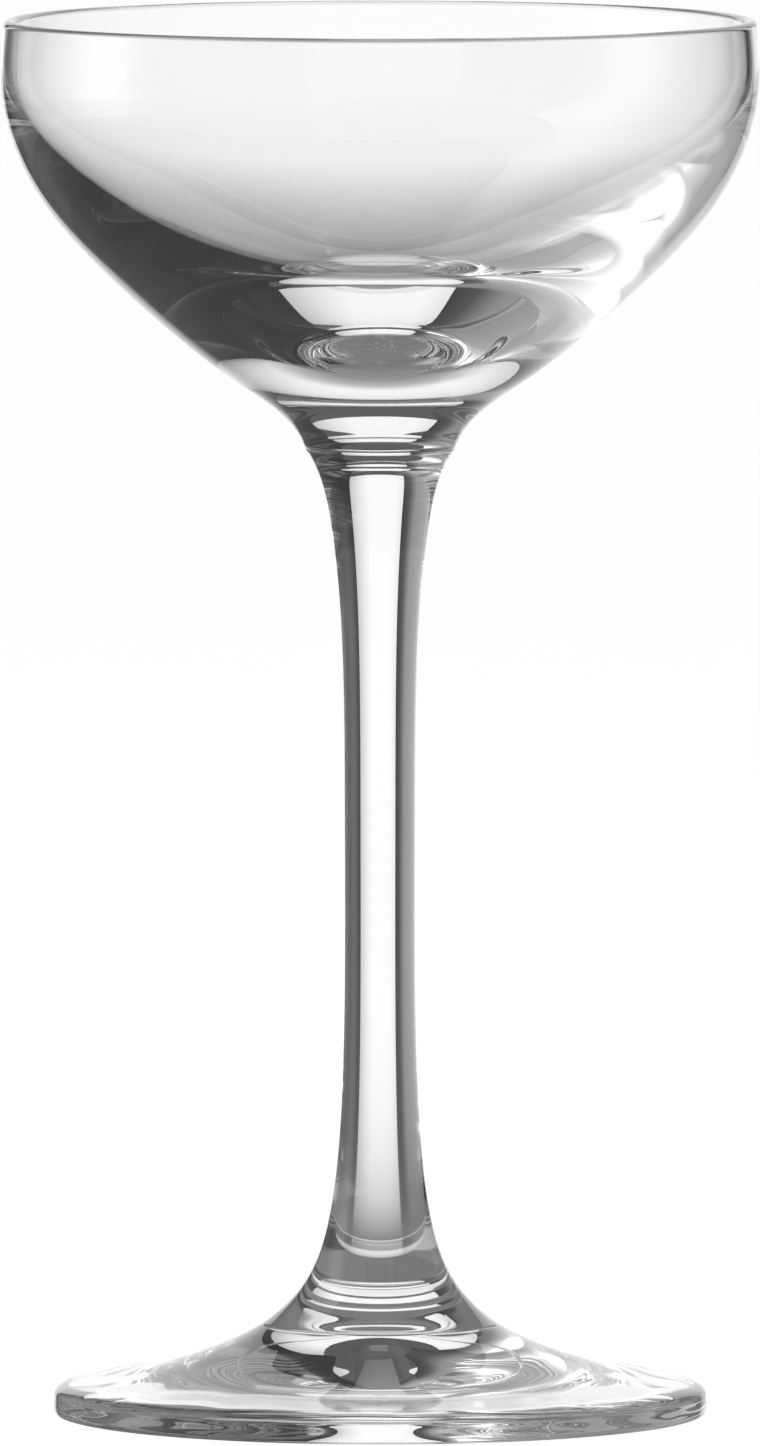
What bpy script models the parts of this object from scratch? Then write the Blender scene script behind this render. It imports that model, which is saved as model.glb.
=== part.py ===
"""A liqueur coupe of clear crystal glass, in metres, standing on z = 0 with its axis on +Z.

Three gathers of glass are fused end to end: a blown bowl, a drawn solid stem and a disc foot. Each is a
turned shape, spun about the axis from a profile. A profile is a smooth curve through stations, each a
(radius, height), and it sets out and ends at a lean: degrees from straight down, positive towards the axis.
"""

import math

import bmesh
import bpy

# Heights, each from one weld to the next
FOOT_HEIGHT = 0.0088
STEM_LENGTH = 0.08666
BOWL_HEIGHT = 0.04234
WELD_GAP = 0.0003

# Bowl, outside: it swells a little below the rim, turns in at the shoulder, runs down a cone to the neck
RIM_DIAMETER = 0.0742
RIM_LEAN = -4.0
BELLY_SWELL = 0.00022
BELLY_DROP = 0.0065
SHOULDER_INSET = 0.00422
SHOULDER_DROP = 0.0181
FLANK_INSET = 0.01243
FLANK_DROP = 0.0270
CONE_SPREAD = 0.0067
CONE_RISE = 0.00654
NECK_LEAN = 17.3

# Bowl, inside: it hangs from the rim, follows the thin wall to the shoulder, then runs in early to a rounded
# bottom, so that the glass grows from a thin lip to a solid cone; insets are from the inner face at the belly
RIM_WALL = 0.00122
BELLY_WALL = 0.00123
UPPER_INSET = 0.00577
UPPER_DROP = 0.0172
MIDDLE_INSET = 0.01504
MIDDLE_DROP = 0.02417
LOWER_INSET = 0.02429
LOWER_DROP = 0.02867
BOWL_DEPTH = 0.0310

# Stem: a slim rod that flares up to the neck and down to the knee; spreads are from the rod's face
NECK_DIAMETER = 0.01476
NECK_TAPER = 35.4
WAIST_SPREAD = 0.00126
WAIST_DROP = 0.00796
UPPER_ROD_SPREAD = 0.00022
UPPER_ROD_DROP = 0.0200
STEM_DIAMETER = 0.0070
TOP_FLARE_LENGTH = 0.0360
BASE_FLARE_LENGTH = 0.0340
LOWER_ROD_SPREAD = 0.00035
LOWER_ROD_RISE = 0.0210
FLARE_SPREAD = 0.00134
FLARE_RISE = 0.0116
ANKLE_SPREAD = 0.00365
ANKLE_RISE = 0.0046
KNEE_DIAMETER = 0.02334

# Foot: a sloping apron, a rounded edge, a flat ring to stand on and a shallow hollow inside it, whose edge is
# set in from the ring's inner edge
APRON_SPREAD = 0.00383
APRON_DROP = 0.00198
SKIRT_INSET = 0.0077
SKIRT_HEIGHT = 0.00408
FOOT_DIAMETER = 0.0644
EDGE_THICKNESS = 0.00325
EDGE_ROUNDING = 0.00261
CREST_LEAN = -79.2
TIP_HEIGHT = 0.00179
RING_INSET = 0.00039
RING_WIDTH = 0.0014
HOLLOW_LEAN = 96.8
HOLLOW_EDGE_INSET = 0.00906
HOLLOW_EDGE_RISE = 0.00152
HOLLOW_MIDDLE_DIAMETER = 0.0105
HOLLOW_MIDDLE_RISE = 0.00232
HOLLOW_RISE = 0.00319

# Fineness: facets round the axis, points along each stretch of a profile and round the lip, and the turns
# that settle a curve
FACETS = 64
STRETCH_POINTS = 4
LIP_POINTS = 6
SETTLING_TURNS = 60

DOWN = 0.0
INWARDS = 90.0
CRYSTAL_COLOUR = (0.97, 0.98, 0.98, 1.0)
CRYSTAL_IOR = 1.52


def heading(lean):
    """Unit step (radius, height) along a profile that leans this many degrees from straight down."""
    return -math.sin(math.radians(lean)), -math.cos(math.radians(lean))


def smooth_run(stations, first_lean, last_lean):
    """Points of the cubic spline through the stations, from one lean to the other.

    The curve's way at each inner station is settled from the ways beside it, until its bend runs on unbroken.
    """
    reaches = [math.dist(start, end) for start, end in zip(stations, stations[1:])]
    slopes = [[(b - a) / reach for a, b in zip(start, end)]
              for start, end, reach in zip(stations, stations[1:], reaches)]
    ways = [heading(first_lean)] + slopes[1:] + [heading(last_lean)]
    for _ in range(SETTLING_TURNS):
        for i in range(1, len(stations) - 1):
            before, after = reaches[i - 1], reaches[i]
            pulls = [after * a + before * b for a, b in zip(slopes[i - 1], slopes[i])]
            beside = [after * a + before * b for a, b in zip(ways[i - 1], ways[i + 1])]
            ways[i] = [(3 * pull - side) / (2 * (before + after)) for pull, side in zip(pulls, beside)]
    points = [stations[0]]
    for start, end, leave, arrive, reach in zip(stations, stations[1:], ways, ways[1:], reaches):
        for step in range(1, STRETCH_POINTS + 1):
            t = step / STRETCH_POINTS
            near, far = (1 - t) ** 2, t * t
            weights = ((1 + 2 * t) * near, t * near * reach, (t - 1) * far * reach, (3 - 2 * t) * far)
            corners = (start, leave, arrive, end)
            points.append(tuple(sum(w * corner[k] for w, corner in zip(weights, corners)) for k in (0, 1)))
    return points


def lip_run(inside, outside):
    """Points of the fire-polished lip: half a circle over the top, from the inner face to the outer one."""
    middle = [(a + b) / 2 for a, b in zip(inside, outside)]
    across = [(b - a) / 2 for a, b in zip(inside, outside)]
    points = []
    for step in range(1, LIP_POINTS):
        turn = math.pi * step / LIP_POINTS
        over, along = math.sin(turn), -math.cos(turn)
        points.append((middle[0] + along * across[0] - over * across[1],
                       middle[1] + along * across[1] + over * across[0]))
    return points


def bowl_profile():
    """The bowl above its weld: up the inside from the solid bottom, over the lip and down the outside."""
    rim = (RIM_DIAMETER / 2, BOWL_HEIGHT - RIM_WALL / 2)
    belly = (RIM_DIAMETER / 2 + BELLY_SWELL, BOWL_HEIGHT - BELLY_DROP)
    outward, upward = heading(RIM_LEAN)
    inner_rim = (rim[0] + upward * RIM_WALL, rim[1] - outward * RIM_WALL)
    inner_belly = belly[0] - BELLY_WALL
    inside = smooth_run([
        inner_rim,
        (inner_belly, belly[1]),
        (inner_belly - UPPER_INSET, BOWL_HEIGHT - UPPER_DROP),
        (inner_belly - MIDDLE_INSET, BOWL_HEIGHT - MIDDLE_DROP),
        (inner_belly - LOWER_INSET, BOWL_HEIGHT - LOWER_DROP),
        (0.0, BOWL_HEIGHT - BOWL_DEPTH),
    ], RIM_LEAN, INWARDS)
    outside = smooth_run([
        rim,
        belly,
        (belly[0] - SHOULDER_INSET, BOWL_HEIGHT - SHOULDER_DROP),
        (belly[0] - FLANK_INSET, BOWL_HEIGHT - FLANK_DROP),
        (NECK_DIAMETER / 2 + CONE_SPREAD, CONE_RISE),
        (NECK_DIAMETER / 2, WELD_GAP / 2),
    ], RIM_LEAN, NECK_LEAN)
    return inside[::-1] + lip_run(inner_rim, rim) + outside + [(0.0, WELD_GAP / 2)]


def drawn_face():
    """The outer face above the table: from the neck down the stem and over the foot's apron to its crest."""
    neck_weld = FOOT_HEIGHT + STEM_LENGTH
    rod = STEM_DIAMETER / 2
    return smooth_run([
        (NECK_DIAMETER / 2, neck_weld - WELD_GAP / 2),
        (rod + WAIST_SPREAD, neck_weld - WAIST_DROP),
        (rod + UPPER_ROD_SPREAD, neck_weld - UPPER_ROD_DROP),
        (rod, neck_weld - TOP_FLARE_LENGTH),
        (rod, FOOT_HEIGHT + BASE_FLARE_LENGTH),
        (rod + LOWER_ROD_SPREAD, FOOT_HEIGHT + LOWER_ROD_RISE),
        (rod + FLARE_SPREAD, FOOT_HEIGHT + FLARE_RISE),
        (rod + ANKLE_SPREAD, FOOT_HEIGHT + ANKLE_RISE),
        (KNEE_DIAMETER / 2, FOOT_HEIGHT),
        (KNEE_DIAMETER / 2 + APRON_SPREAD, FOOT_HEIGHT - APRON_DROP),
        (FOOT_DIAMETER / 2 - SKIRT_INSET, SKIRT_HEIGHT),
        (FOOT_DIAMETER / 2 - EDGE_ROUNDING, EDGE_THICKNESS),
    ], NECK_TAPER, CREST_LEAN)


def stem_profile():
    """The stem above its weld with the foot: from the neck down to the knee."""
    base = WELD_GAP / 2
    face = [(radius, height - FOOT_HEIGHT) for radius, height in drawn_face() if height - FOOT_HEIGHT > base]
    return [(0.0, face[0][1])] + face + [(KNEE_DIAMETER / 2, base), (0.0, base)]


def foot_profile():
    """The foot above the table: down the apron, round the edge, across the ring and up into the hollow."""
    top = FOOT_HEIGHT - WELD_GAP / 2
    apron = [(radius, height) for radius, height in drawn_face() if height < top]
    tip = (FOOT_DIAMETER / 2, TIP_HEIGHT)
    ring = FOOT_DIAMETER / 2 - RING_INSET
    edge = smooth_run([apron[-1], tip], CREST_LEAN, DOWN) + smooth_run([tip, (ring, 0.0)], DOWN, INWARDS)[1:]
    brink = ring - RING_WIDTH
    hollow = smooth_run([
        (brink, 0.0),
        (brink - HOLLOW_EDGE_INSET, HOLLOW_EDGE_RISE),
        (HOLLOW_MIDDLE_DIAMETER / 2, HOLLOW_MIDDLE_RISE),
        (0.0, HOLLOW_RISE),
    ], HOLLOW_LEAN, INWARDS)
    return [(0.0, top), (KNEE_DIAMETER / 2, top)] + apron + edge[1:] + hollow


def crystal(name):
    """Clear, colourless crystal glass with a fire-polished surface."""
    material = bpy.data.materials.new(name + "_crystal")
    material.use_nodes = True
    shader = material.node_tree.nodes["Principled BSDF"]
    shader.inputs["Base Color"].default_value = CRYSTAL_COLOUR
    shader.inputs["Metallic"].default_value = 0.0
    shader.inputs["Roughness"].default_value = 0.0
    shader.inputs["IOR"].default_value = CRYSTAL_IOR
    shader.inputs["Transmission Weight"].default_value = 1.0
    return material


def turned(name, profile, height, parent, collection):
    """A solid of glass spun about the axis from a profile, standing at a height on its parent."""
    mesh = bpy.data.meshes.new(name)
    outline = bmesh.new()
    corners = [outline.verts.new((radius, 0.0, rise)) for radius, rise in profile]
    for upper, lower in zip(corners, corners[1:]):
        outline.edges.new((upper, lower))
    outline.to_mesh(mesh)
    outline.free()
    mesh.materials.append(crystal(name))
    piece = bpy.data.objects.new(name, mesh)
    collection.objects.link(piece)
    piece.parent = parent
    piece.location.z = height
    spin = piece.modifiers.new("turned", "SCREW")
    spin.axis = "Z"
    spin.steps = FACETS
    spin.render_steps = FACETS
    spin.use_merge_vertices = True
    spin.merge_threshold = 0.00001
    spin.use_smooth_shade = True
    return piece


for leftover in list(bpy.data.objects):
    bpy.data.objects.remove(leftover)
coupe = bpy.data.collections.new("liqueur_coupe")
bpy.context.scene.collection.children.link(coupe)
axis = bpy.data.objects.new("coupe_axis", None)
coupe.objects.link(axis)
turned("foot", foot_profile(), 0.0, axis, coupe)
turned("stem", stem_profile(), FOOT_HEIGHT, axis, coupe)
turned("bowl", bowl_profile(), FOOT_HEIGHT + STEM_LENGTH, axis, coupe)
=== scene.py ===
"""Looks of a liqueur coupe: three gathers of clear crystal, fused end to end, on a white studio table."""

import math

import bpy
import numpy as np
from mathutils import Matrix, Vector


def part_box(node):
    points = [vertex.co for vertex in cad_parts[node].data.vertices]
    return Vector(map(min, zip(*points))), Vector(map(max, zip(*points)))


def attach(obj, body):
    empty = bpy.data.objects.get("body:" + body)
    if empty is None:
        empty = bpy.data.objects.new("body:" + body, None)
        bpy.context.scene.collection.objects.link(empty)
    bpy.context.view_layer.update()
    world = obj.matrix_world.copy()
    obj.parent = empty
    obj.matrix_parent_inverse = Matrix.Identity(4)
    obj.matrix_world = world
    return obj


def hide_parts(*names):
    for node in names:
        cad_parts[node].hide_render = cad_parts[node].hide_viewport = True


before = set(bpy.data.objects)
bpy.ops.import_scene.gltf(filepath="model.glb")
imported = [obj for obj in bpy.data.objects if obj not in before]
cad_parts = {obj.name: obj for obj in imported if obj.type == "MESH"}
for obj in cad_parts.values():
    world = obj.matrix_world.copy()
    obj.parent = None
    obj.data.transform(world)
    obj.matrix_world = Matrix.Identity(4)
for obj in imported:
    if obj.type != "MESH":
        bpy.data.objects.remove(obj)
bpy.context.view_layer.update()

# Bowl
# A blown bubble of clear crystal, opened wide and fire-polished at the rim. The wall is thin at the lip,
# thickens down the cone and ends in a solid bottom, which is fused to the stem. Sizes are in millimetres.
MM = 0.001
RING_POINTS = 384
STRETCH_POINTS = 20
LIP_POINTS = 16
DOWN, INWARDS = 0.0, 90.0


def flowing(stations, first_lean, last_lean):
    """A smooth profile (radius, height): the cubic spline through the stations that sets out and ends at
    the given leans, in degrees from straight down, positive towards the axis. Its way w at each station
    solves h[i] w[i-1] + 2 (h[i-1] + h[i]) w[i] + h[i-1] w[i+1] = 3 (h[i-1] s[i] + h[i] s[i-1]), with h the
    lengths of the chords and s their ways, so the bend runs on through every station and the glass shows
    no band there."""
    points = np.array(stations, float)
    chord = np.diff(points, axis=0)
    length = np.linalg.norm(chord, axis=1)[:, None]
    straight = chord / length
    ends = np.radians([first_lean, last_lean])
    rows = np.arange(1, len(points) - 1)
    matrix, wanted = np.eye(len(points)), np.zeros_like(points)
    wanted[[0, -1]] = -np.column_stack([np.sin(ends), np.cos(ends)])
    matrix[rows, rows - 1] = length[1:, 0]
    matrix[rows, rows] = 2 * (length[:-1, 0] + length[1:, 0])
    matrix[rows, rows + 1] = length[:-1, 0]
    wanted[rows] = 3 * (length[:-1] * straight[1:] + length[1:] * straight[:-1])
    way = np.linalg.solve(matrix, wanted)
    t = np.linspace(0, 1, STRETCH_POINTS, endpoint=False)
    weights = np.stack([(1 + 2 * t) * (1 - t) ** 2, t * (1 - t) ** 2,
                        t * t * (3 - 2 * t), t * t * (t - 1)])
    corners = np.stack([points[:-1], length * way[:-1], points[1:], length * way[1:]])
    return np.vstack([np.einsum("km,knd->nmd", weights, corners).reshape(-1, 2), points[-1:]])


def lip(inside, outside):
    """Half a circle over the top from the inner face to the outer one: M - A cos(t) + A' sin(t), where M is
    their middle, A half the way across and A' is A turned a quarter upwards."""
    inner_end, outer_end = np.array(inside), np.array(outside)
    middle, across = (inner_end + outer_end) / 2, (outer_end - inner_end) / 2
    upwards = np.array([-across[1], across[0]])
    t = np.linspace(0, math.pi, LIP_POINTS + 1)[1:-1, None]
    return middle - across * np.cos(t) + upwards * np.sin(t)


def weld(upper, lower):
    """Height where two gathers fuse: half way across the gap between their nodes."""
    return (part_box(upper)[0].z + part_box(lower)[1].z) / 2 / MM


def spun(name, profile, welds):
    """A closed solid of revolution: (r cos a, r sin a, z) over the profile and the angle a, with a pole at
    each end of the profile. The faces of a weld, given as its stretch of the profile, wear the second
    material."""
    radius, height = profile.T * MM
    angle = np.linspace(0, 2 * math.pi, RING_POINTS, endpoint=False)
    ring = np.stack([np.outer(radius[1:-1], np.cos(angle)), np.outer(radius[1:-1], np.sin(angle)),
                     np.repeat(height[1:-1, None], RING_POINTS, axis=1)], axis=-1).reshape(-1, 3)
    poles = np.array([[0, 0, height[0]], [0, 0, height[-1]]])
    rows = len(profile) - 2
    index = np.arange(rows * RING_POINTS).reshape(rows, RING_POINTS)
    beside = np.roll(index, -1, axis=1)
    quads = np.stack([index[:-1], index[1:], beside[1:], beside[:-1]], axis=-1).reshape(-1, 4)
    first_pole = np.full(RING_POINTS, rows * RING_POINTS)
    top = np.stack([first_pole, index[0], beside[0]], axis=-1)
    bottom = np.stack([index[-1], first_pole + 1, beside[-1]], axis=-1)
    mesh = bpy.data.meshes.new(name)
    mesh.from_pydata(np.vstack([ring, poles]), [], [*top.tolist(), *quads.tolist(), *bottom.tolist()])
    stretch = np.repeat(np.arange(rows + 1), RING_POINTS)
    at_weld = np.isin(stretch, welds)
    mesh.polygons.foreach_set("material_index", at_weld.astype(np.int32))
    mesh.polygons.foreach_set("use_smooth", ~at_weld)
    mesh.update()
    piece = bpy.data.objects.new(name, mesh)
    bpy.context.scene.collection.objects.link(piece)
    return piece


def linear(code):
    """An sRGB hex colour as linear RGBA, by the standard's own curve."""
    shade = np.array([int(code[i:i + 2], 16) for i in (1, 3, 5)]) / 255
    shade = np.where(shade <= 0.04045, shade / 12.92, ((shade + 0.055) / 1.055) ** 2.4)
    return (*shade.tolist(), 1.0)


def add_node(tree, kind, settings=None, **inputs):
    """Adds a node and sets its properties. Its inputs are set or linked by name, or by number after an
    underscore, and a node given as an input stands for its first output."""
    node = tree.nodes.new(kind)
    for name, value in (settings or {}).items():
        setattr(node, name, value)
    for name, value in inputs.items():
        socket = node.inputs[int(name[1:])] if name[1:].isdigit() else node.inputs[name.replace("_", " ")]
        if isinstance(value, bpy.types.Node):
            value = value.outputs[0]
        if isinstance(value, bpy.types.NodeSocket):
            tree.links.new(value, socket)
        else:
            socket.default_value = value
    return node


def new_material(name):
    """A material whose node tree is still empty."""
    material = bpy.data.materials.new(name)
    material.use_nodes = True
    material.node_tree.nodes.clear()
    return material


# Lead-free crystal, clear and colourless. Fire-polishing leaves it bright and smooth, over a faint ripple
# from the working of the hot glass, which breaks up the reflections a little.
CRYSTAL_TINT = "#FDFEFE"
CRYSTAL_INDEX = 1.52
FIRE_POLISHED = 0.0


def crystal(name, ripple, depth):
    """Crystal whose ripple is this wide and deep: smooth noise, one wave to a ripple, as a bump."""
    material = new_material(name)
    tree = material.node_tree
    place = add_node(tree, "ShaderNodeTexCoord")
    wave = add_node(tree, "ShaderNodeTexNoise", Vector=place.outputs["Object"], Scale=1 / (ripple * MM),
                    Detail=0.0)
    bump = add_node(tree, "ShaderNodeBump", Height=wave, Distance=depth * MM, Strength=1.0)
    glass = add_node(tree, "ShaderNodeBsdfPrincipled", Base_Color=linear(CRYSTAL_TINT),
                     Roughness=FIRE_POLISHED, IOR=CRYSTAL_INDEX, Transmission_Weight=1.0, Normal=bump)
    add_node(tree, "ShaderNodeOutputMaterial", Surface=glass)
    return material


# Fused glass: where two gathers melt together there is no surface left to see.
WHITE = "#FFFFFF"
seam = new_material("fused_seam")
melted = add_node(seam.node_tree, "ShaderNodeBsdfTransparent", Color=linear(WHITE))
add_node(seam.node_tree, "ShaderNodeOutputMaterial", Surface=melted)

NECK_WELD = weld("bowl", "stem")
BOWL_HEIGHT = 42.34
RIM_HEIGHT = NECK_WELD + BOWL_HEIGHT
RIM_RADIUS, RIM_LEAN = 37.1, -4.0
BELLY_RADIUS, BELLY_DROP = 37.32, 6.5
SHOULDER_RADIUS, SHOULDER_DROP = 33.1, 18.1
FLANK_RADIUS, FLANK_DROP = 24.89, 27.0
CONE_RADIUS, CONE_RISE = 14.08, 6.54
NECK_RADIUS, NECK_LEAN = 7.38, 17.3
RIM_WALL = 1.22
BELLY_WALL = 1.23
UPPER_RADIUS, UPPER_DROP = 30.32, 17.2
MIDDLE_RADIUS, MIDDLE_DROP = 21.05, 24.17
LOWER_RADIUS, LOWER_DROP = 11.8, 28.67
BOWL_DEPTH = 31.0
BOWL_RIPPLE, BOWL_RIPPLE_DEPTH = 14.0, 0.02
rim = (RIM_RADIUS, RIM_HEIGHT - RIM_WALL / 2)
rim_inside = (RIM_RADIUS - RIM_WALL * math.cos(math.radians(RIM_LEAN)),
              RIM_HEIGHT - RIM_WALL / 2 + RIM_WALL * math.sin(math.radians(RIM_LEAN)))
outer_face = flowing([
    rim,
    (BELLY_RADIUS, RIM_HEIGHT - BELLY_DROP),
    (SHOULDER_RADIUS, RIM_HEIGHT - SHOULDER_DROP),
    (FLANK_RADIUS, RIM_HEIGHT - FLANK_DROP),
    (CONE_RADIUS, NECK_WELD + CONE_RISE),
    (NECK_RADIUS, NECK_WELD),
], RIM_LEAN, NECK_LEAN)
inner_face = flowing([
    rim_inside,
    (BELLY_RADIUS - BELLY_WALL, RIM_HEIGHT - BELLY_DROP),
    (UPPER_RADIUS, RIM_HEIGHT - UPPER_DROP),
    (MIDDLE_RADIUS, RIM_HEIGHT - MIDDLE_DROP),
    (LOWER_RADIUS, RIM_HEIGHT - LOWER_DROP),
    (0.0, RIM_HEIGHT - BOWL_DEPTH),
], RIM_LEAN, INWARDS)
bowl_profile = np.vstack([inner_face[::-1], lip(rim_inside, rim), outer_face, [[0.0, NECK_WELD]]])
bowl = spun("bowl_glass", bowl_profile, [len(bowl_profile) - 2])
bowl.data.materials.append(crystal("blown_crystal", BOWL_RIPPLE, BOWL_RIPPLE_DEPTH))
bowl.data.materials.append(seam)
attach(bowl, "root")
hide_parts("bowl")

# Stem
# A rod of the same crystal, drawn out of a hot gather, slim in the middle and flared at both ends, where it
# is fused to the bowl and to the foot. Its face runs on over the foot as one curve, and is cut at the knee.
KNEE_WELD = weld("stem", "foot")
NECK_TAPER = 35.4
WAIST_RADIUS, WAIST_DROP = 4.76, 7.96
UPPER_ROD_RADIUS, UPPER_ROD_DROP = 3.72, 20.0
ROD_RADIUS, ROD_DROP, ROD_RISE = 3.5, 36.0, 34.0
LOWER_ROD_RADIUS, LOWER_ROD_RISE = 3.85, 21.0
FLARE_RADIUS, FLARE_RISE = 4.84, 11.6
ANKLE_RADIUS, ANKLE_RISE = 7.15, 4.6
KNEE_RADIUS = 11.67
APRON_RADIUS, APRON_HEIGHT = 15.5, 6.82
SKIRT_RADIUS, SKIRT_HEIGHT = 24.5, 4.08
CREST_RADIUS, CREST_HEIGHT, CREST_LEAN = 29.59, 3.25, -79.2
STEM_RIPPLE, STEM_RIPPLE_DEPTH = 30.0, 0.01
drawn_face = flowing([
    (NECK_RADIUS, NECK_WELD),
    (WAIST_RADIUS, NECK_WELD - WAIST_DROP),
    (UPPER_ROD_RADIUS, NECK_WELD - UPPER_ROD_DROP),
    (ROD_RADIUS, NECK_WELD - ROD_DROP),
    (ROD_RADIUS, KNEE_WELD + ROD_RISE),
    (LOWER_ROD_RADIUS, KNEE_WELD + LOWER_ROD_RISE),
    (FLARE_RADIUS, KNEE_WELD + FLARE_RISE),
    (ANKLE_RADIUS, KNEE_WELD + ANKLE_RISE),
    (KNEE_RADIUS, KNEE_WELD),
    (APRON_RADIUS, APRON_HEIGHT),
    (SKIRT_RADIUS, SKIRT_HEIGHT),
    (CREST_RADIUS, CREST_HEIGHT),
], NECK_TAPER, CREST_LEAN)
knee_point = np.argmin(np.abs(drawn_face[:, 1] - KNEE_WELD))
stem_profile = np.vstack([[[0.0, NECK_WELD]], drawn_face[:knee_point + 1], [[0.0, KNEE_WELD]]])
stem = spun("stem_glass", stem_profile, [0, len(stem_profile) - 2])
stem.data.materials.append(crystal("drawn_crystal", STEM_RIPPLE, STEM_RIPPLE_DEPTH))
stem.data.materials.append(seam)
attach(stem, "root")
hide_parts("stem")

# Foot
# A gather of crystal spun out to a disc, its top running on from the stem, with a rounded edge, a narrow ring
# to stand on and a shallow hollow under it.
FOOT_RADIUS = 32.2
TIP_HEIGHT = 1.79
RING_INSET = 0.39
HOLLOW_RADIUS, HOLLOW_LEAN = 30.41, 96.8
HOLLOW_EDGE_RADIUS, HOLLOW_EDGE_RISE = 21.35, 1.52
HOLLOW_MIDDLE_RADIUS, HOLLOW_MIDDLE_RISE = 5.25, 2.32
HOLLOW_RISE = 3.19
FOOT_RIPPLE, FOOT_RIPPLE_DEPTH = 6.0, 0.08
apron = drawn_face[knee_point:]
edge = flowing([apron[-1], (FOOT_RADIUS, TIP_HEIGHT)], CREST_LEAN, DOWN)
turn_under = flowing([(FOOT_RADIUS, TIP_HEIGHT), (FOOT_RADIUS - RING_INSET, 0.0)], DOWN, INWARDS)
hollow = flowing([
    (HOLLOW_RADIUS, 0.0),
    (HOLLOW_EDGE_RADIUS, HOLLOW_EDGE_RISE),
    (HOLLOW_MIDDLE_RADIUS, HOLLOW_MIDDLE_RISE),
    (0.0, HOLLOW_RISE),
], HOLLOW_LEAN, INWARDS)
foot_profile = np.vstack([[[0.0, KNEE_WELD]], apron, edge[1:], turn_under[1:], hollow])
foot = spun("foot_glass", foot_profile, [0])
foot.data.materials.append(crystal("spun_crystal", FOOT_RIPPLE, FOOT_RIPPLE_DEPTH))
foot.data.materials.append(seam)
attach(foot, "root")
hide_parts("foot")

# Camera
# A long lens, a little above the rim and looking slightly down on it, as in the photograph. Places are in
# metres, and the lens and its film in millimetres.
CAMERA_DISTANCE = 2.9
CAMERA_HEIGHT = 0.287
AIM_HEIGHT = 0.0683
LENS = 734.3
FILM_WIDTH = 36.0
camera_data = bpy.data.cameras.new("camera")
camera_data.lens = LENS
camera_data.sensor_width = FILM_WIDTH
camera = bpy.data.objects.new("camera", camera_data)
bpy.context.scene.collection.objects.link(camera)
camera.location = (0.0, -CAMERA_DISTANCE, CAMERA_HEIGHT)
look_down = math.atan2(CAMERA_HEIGHT - AIM_HEIGHT, CAMERA_DISTANCE)
camera.rotation_euler = (math.pi / 2 - look_down, 0.0, 0.0)
bpy.context.scene.camera = camera

# Studio cards
# Curved cards round the glass: a bright backdrop behind it, a softbox and grey sweeps to its left, a dark
# flag to its right and a wall in front. Every card glows; the sweeps, the flag and the wall are no lamps,
# and their glow is painted light at the brightness they would reflect. They stand on a turntable that
# follows the camera, so the glass is lit from behind in every view. Azimuths are in degrees from straight
# behind, positive to the right.
STUDIO_REACH = 0.5
STUDIO_EYE = 0.093
CARD_COLUMNS = 181
LAMP, SOFTBOX, DIM = 1.05, 1.6, 1.0
BACKDROP_TOP, SWEEP_TOP, FLAG_TOP, WALL_TOP = 31, 55, 60, 28
rig = bpy.data.objects.new("studio_turn", None)
bpy.context.scene.collection.objects.link(rig)
turn = rig.constraints.new("LOCKED_TRACK")
turn.target = camera
turn.track_axis = "TRACK_NEGATIVE_Y"
turn.lock_axis = "LOCK_Z"


def card(name, shades, top, strength):
    """A curved card that stands on the table round the axis: (d sin a, d cos a, z) over azimuth a and height
    z, with d the studio's reach. Its top is so many degrees above the studio's eye. Its brightness runs
    evenly from one shade to the next, each given with its azimuth."""
    angles, codes = zip(*shades)
    azimuth = np.linspace(angles[0], angles[-1], CARD_COLUMNS)
    colours = np.array([linear(code) for code in codes])
    tint = np.column_stack([np.interp(azimuth, angles, channel) for channel in colours.T])
    heights = np.array([0.0, STUDIO_EYE + STUDIO_REACH * math.tan(math.radians(top))])
    a, z = np.meshgrid(np.radians(azimuth), heights)
    points = np.stack([STUDIO_REACH * np.sin(a), STUDIO_REACH * np.cos(a), z], axis=-1)
    index = np.arange(a.size).reshape(a.shape)
    faces = np.stack([index[:-1, :-1], index[:-1, 1:], index[1:, 1:], index[1:, :-1]], axis=-1).reshape(-1, 4)
    mesh = bpy.data.meshes.new(name)
    mesh.from_pydata(points.reshape(-1, 3), [], faces.tolist())
    painted = mesh.attributes.new("shade", "FLOAT_COLOR", "POINT")
    painted.data.foreach_set("color", np.tile(tint, (2, 1)).ravel())
    piece = bpy.data.objects.new(name, mesh)
    bpy.context.scene.collection.objects.link(piece)
    piece.parent = rig
    material = new_material(name)
    shade = add_node(material.node_tree, "ShaderNodeAttribute", {"attribute_name": "shade"})
    light = add_node(material.node_tree, "ShaderNodeEmission", Color=shade.outputs["Color"],
                     Strength=strength)
    add_node(material.node_tree, "ShaderNodeOutputMaterial", Surface=light)
    mesh.materials.append(material)
    piece.visible_camera = False


card("backdrop", [(-18, "#EDEDED"), (-12, "#FFFFFF"), (8, "#FFFFFF"), (16, "#EAEAEA"), (24, "#C8C8C8")],
     BACKDROP_TOP, LAMP)
card("sweep_behind", [(-150, "#B0B0B0"), (-112.1, "#B8B8B8")], SWEEP_TOP, LAMP)
card("softbox", [(-112, "#9A9A9A"), (-102, "#C4C4C4"), (-96, "#FFFFFF"), (-82, "#FFFFFF"), (-75, "#DCDCDC"),
                 (-66, "#B4B4B4"), (-58, "#9C9C9C")], SWEEP_TOP, SOFTBOX)
# Painted shading: the sweep's glow darkens from the softbox's side towards the backdrop.
card("sweep_left", [(-57.9, "#B6B6B6"), (-50, "#AAAAAA"), (-40, "#9C9C9C"), (-32, "#949494"),
                    (-24, "#525252"), (-18.1, "#3C3C3C")], SWEEP_TOP, LAMP)
card("flag_right", [(24.1, "#343434"), (70, "#363636"), (95, "#2A2A2A"), (150, "#343434"), (160, "#BCBCBC")],
     FLAG_TOP, DIM)
card("front_wall", [(160, "#BCBCBC"), (210, "#BCBCBC")], WALL_TOP, DIM)
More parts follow.
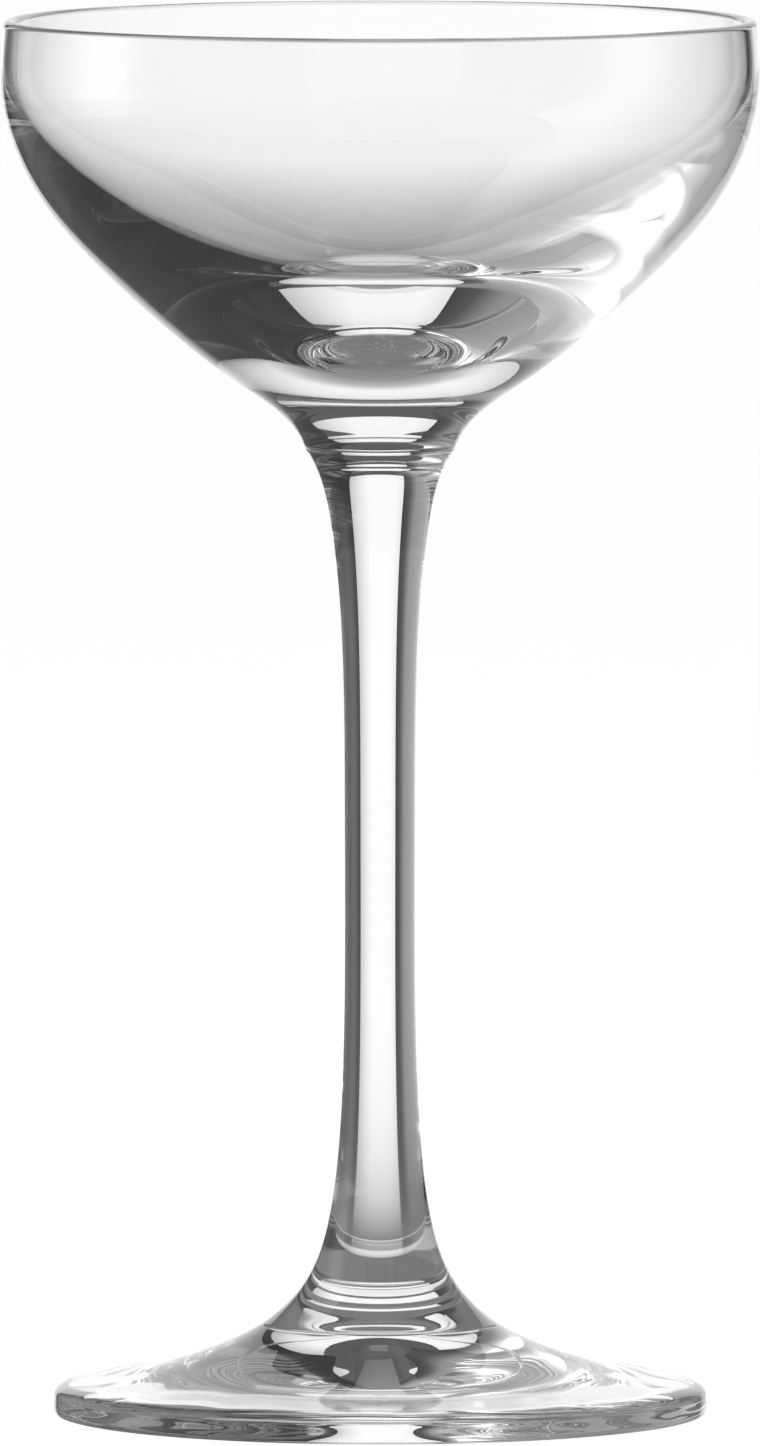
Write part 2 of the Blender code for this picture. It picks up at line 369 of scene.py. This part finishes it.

# Table
# A wide sheet of polished white acrylic. To the camera it is plain white, with the glass's soft shadow.
# Through the glass it mirrors the cards at low angles, and else it glows with painted light: painted shade
# near the foot, brighter towards the backdrop as if lit from that side, and evenly pale through thin glass
# and from high above.
TABLE_REACH = 4.0
TABLE_WHITE = 0.96
TABLE_SHADOW = "#8C8C8C"
# Painted light and shade: distances behind the glass, strengths there, and slants, which are sideways over
# backwards
GLOW_NEAR, GLOW_FAR = 0.05, 0.39
GLOW_LEAST, GLOW_GAIN = 0.2, 0.82
GLOW_SLANT, GLOW_FULL_WIDTH, GLOW_END_WIDTH = 0.06, 0.3, 0.5
# Heights about the stem's middle, and how many faces light may cross and be mirrored by on its way
STEM_MIDDLE, STEM_HALF, THIN_GLASS = 0.046, 0.036, 0.042
ONE_WALL_FACES = 2.5
UNMIRRORED = 0.5
PALE = 0.88
# Grazing runs from 0, straight down, to 1, along the table
LAYER_BLEND = 0.5
STEEP, LESS_STEEP = 0.12, 0.28
MIRROR_START, MIRROR_FULL, MIRROR_ROUGHNESS = 0.5, 0.96, 0.12
SUBTRACT, MULTIPLY, DIVIDE = {"operation": "SUBTRACT"}, {"operation": "MULTIPLY"}, {"operation": "DIVIDE"}
LARGER, BELOW, UNSIGNED = {"operation": "MAXIMUM"}, {"operation": "LESS_THAN"}, {"operation": "ABSOLUTE"}
MULTIPLY_ADD = {"operation": "MULTIPLY_ADD"}
EASED = {"interpolation_type": "SMOOTHSTEP"}
table_corners = [(-TABLE_REACH, -TABLE_REACH, 0), (TABLE_REACH, -TABLE_REACH, 0),
                 (TABLE_REACH, TABLE_REACH, 0), (-TABLE_REACH, TABLE_REACH, 0)]
floor_mesh = bpy.data.meshes.new("floor")
floor_mesh.from_pydata(table_corners, [], [(0, 1, 2, 3)])
floor = bpy.data.objects.new("floor", floor_mesh)
bpy.context.scene.collection.objects.link(floor)
floor.parent = rig
acrylic = new_material("white_table")
tree = acrylic.node_tree
seen_by = add_node(tree, "ShaderNodeLightPath")
place = add_node(tree, "ShaderNodeTexCoord")
spot = add_node(tree, "ShaderNodeSeparateXYZ", Vector=place.outputs["Object"])
across, back = spot.outputs["X"], spot.outputs["Y"]
ray_depth = seen_by.outputs["Ray Depth"]
layer = add_node(tree, "ShaderNodeLayerWeight", Blend=LAYER_BLEND)
grazing = layer.outputs["Facing"]

# The painted glow: painted shade near the foot, stronger towards the backdrop and within its width
painted_shade_falloff = add_node(tree, "ShaderNodeMapRange", Value=back, From_Min=GLOW_NEAR, From_Max=GLOW_FAR,
                    To_Min=0.0, To_Max=GLOW_GAIN)
slant = add_node(tree, "ShaderNodeMath", DIVIDE, _0=across, _1=back)
aside = add_node(tree, "ShaderNodeMath", SUBTRACT, _0=slant, _1=GLOW_SLANT)
width = add_node(tree, "ShaderNodeMath", UNSIGNED, _0=aside)
sector = add_node(tree, "ShaderNodeMapRange", EASED, Value=width, From_Min=GLOW_FULL_WIDTH,
                  From_Max=GLOW_END_WIDTH, To_Min=1.0, To_Max=0.0)
painted_glow = add_node(tree, "ShaderNodeMath", MULTIPLY_ADD, _0=painted_shade_falloff, _1=sector, _2=GLOW_LEAST)

# The pale look, straight through one wall of the foot or the bowl, or from high above
upright = add_node(tree, "ShaderNodeMath", SUBTRACT, _0=1.0, _1=grazing)
left_at = add_node(tree, "ShaderNodeMath", MULTIPLY, _0=seen_by.outputs["Ray Length"], _1=upright)
from_stem = add_node(tree, "ShaderNodeMath", SUBTRACT, _0=left_at, _1=STEM_MIDDLE)
off_stem = add_node(tree, "ShaderNodeMath", UNSIGNED, _0=from_stem)
thin_glass = add_node(tree, "ShaderNodeMapRange", EASED, Value=off_stem, From_Min=STEM_HALF,
                      From_Max=THIN_GLASS, To_Min=0.0, To_Max=PALE)
one_wall = add_node(tree, "ShaderNodeMath", BELOW, _0=ray_depth, _1=ONE_WALL_FACES)
thin_view = add_node(tree, "ShaderNodeMath", MULTIPLY, _0=one_wall, _1=thin_glass)
from_above = add_node(tree, "ShaderNodeMapRange", EASED, Value=grazing, From_Min=STEEP, From_Max=LESS_STEEP,
                      To_Min=PALE, To_Max=0.0)
open_view = add_node(tree, "ShaderNodeMath", LARGER, _0=thin_view, _1=from_above)
mirrored = add_node(tree, "ShaderNodeMath", SUBTRACT, _0=ray_depth, _1=seen_by.outputs["Transmission Depth"])
straight = add_node(tree, "ShaderNodeMath", BELOW, _0=mirrored, _1=UNMIRRORED)
clear_view = add_node(tree, "ShaderNodeMath", MULTIPLY, _0=open_view, _1=straight)
brightest = add_node(tree, "ShaderNodeMath", LARGER, _0=painted_glow, _1=clear_view)
base = add_node(tree, "ShaderNodeEmission", Color=linear(WHITE), Strength=brightest)

# The polish, which takes over at low angles
gloss = add_node(tree, "ShaderNodeBsdfGlossy", Color=linear(WHITE), Roughness=MIRROR_ROUGHNESS)
polish = add_node(tree, "ShaderNodeMapRange", EASED, Value=grazing, From_Min=MIRROR_START,
                  From_Max=MIRROR_FULL)
glow = add_node(tree, "ShaderNodeMixShader", _0=polish, _1=base, _2=gloss)
plain = add_node(tree, "ShaderNodeEmission", Color=linear(WHITE), Strength=TABLE_WHITE)
matte = add_node(tree, "ShaderNodeBsdfDiffuse", Color=linear(TABLE_SHADOW))
lit = add_node(tree, "ShaderNodeAddShader", _0=plain, _1=matte)
pick = add_node(tree, "ShaderNodeMixShader", _0=seen_by.outputs["Is Camera Ray"], _1=glow, _2=lit)
add_node(tree, "ShaderNodeOutputMaterial", Surface=pick)
floor_mesh.materials.append(acrylic)

# Room
# White behind the table to the camera, and a dim grey room to the glass. Light is followed a long way,
# because the bowl's wall and the stem guide it through dozens of reflections.
ROOM_GREY = "#5A5A5A"
MOST_BOUNCES = 96
MOST_REFLECTIONS = 80
MOST_REFRACTIONS = 64
MOST_SEAMS = 24
world = bpy.data.worlds.new("studio")
bpy.context.scene.world = world
world.use_nodes = True
tree = world.node_tree
tree.nodes.clear()
seen_by = add_node(tree, "ShaderNodeLightPath")
room = add_node(tree, "ShaderNodeBackground", Color=linear(ROOM_GREY))
white = add_node(tree, "ShaderNodeBackground", Color=linear(WHITE))
pick = add_node(tree, "ShaderNodeMixShader", _0=seen_by.outputs["Is Camera Ray"], _1=room, _2=white)
add_node(tree, "ShaderNodeOutputWorld", Surface=pick)
bpy.context.scene.view_settings.view_transform = "Standard"
bpy.context.scene.cycles.max_bounces = MOST_BOUNCES
bpy.context.scene.cycles.glossy_bounces = MOST_REFLECTIONS
bpy.context.scene.cycles.transmission_bounces = MOST_REFRACTIONS
bpy.context.scene.cycles.transparent_max_bounces = MOST_SEAMS
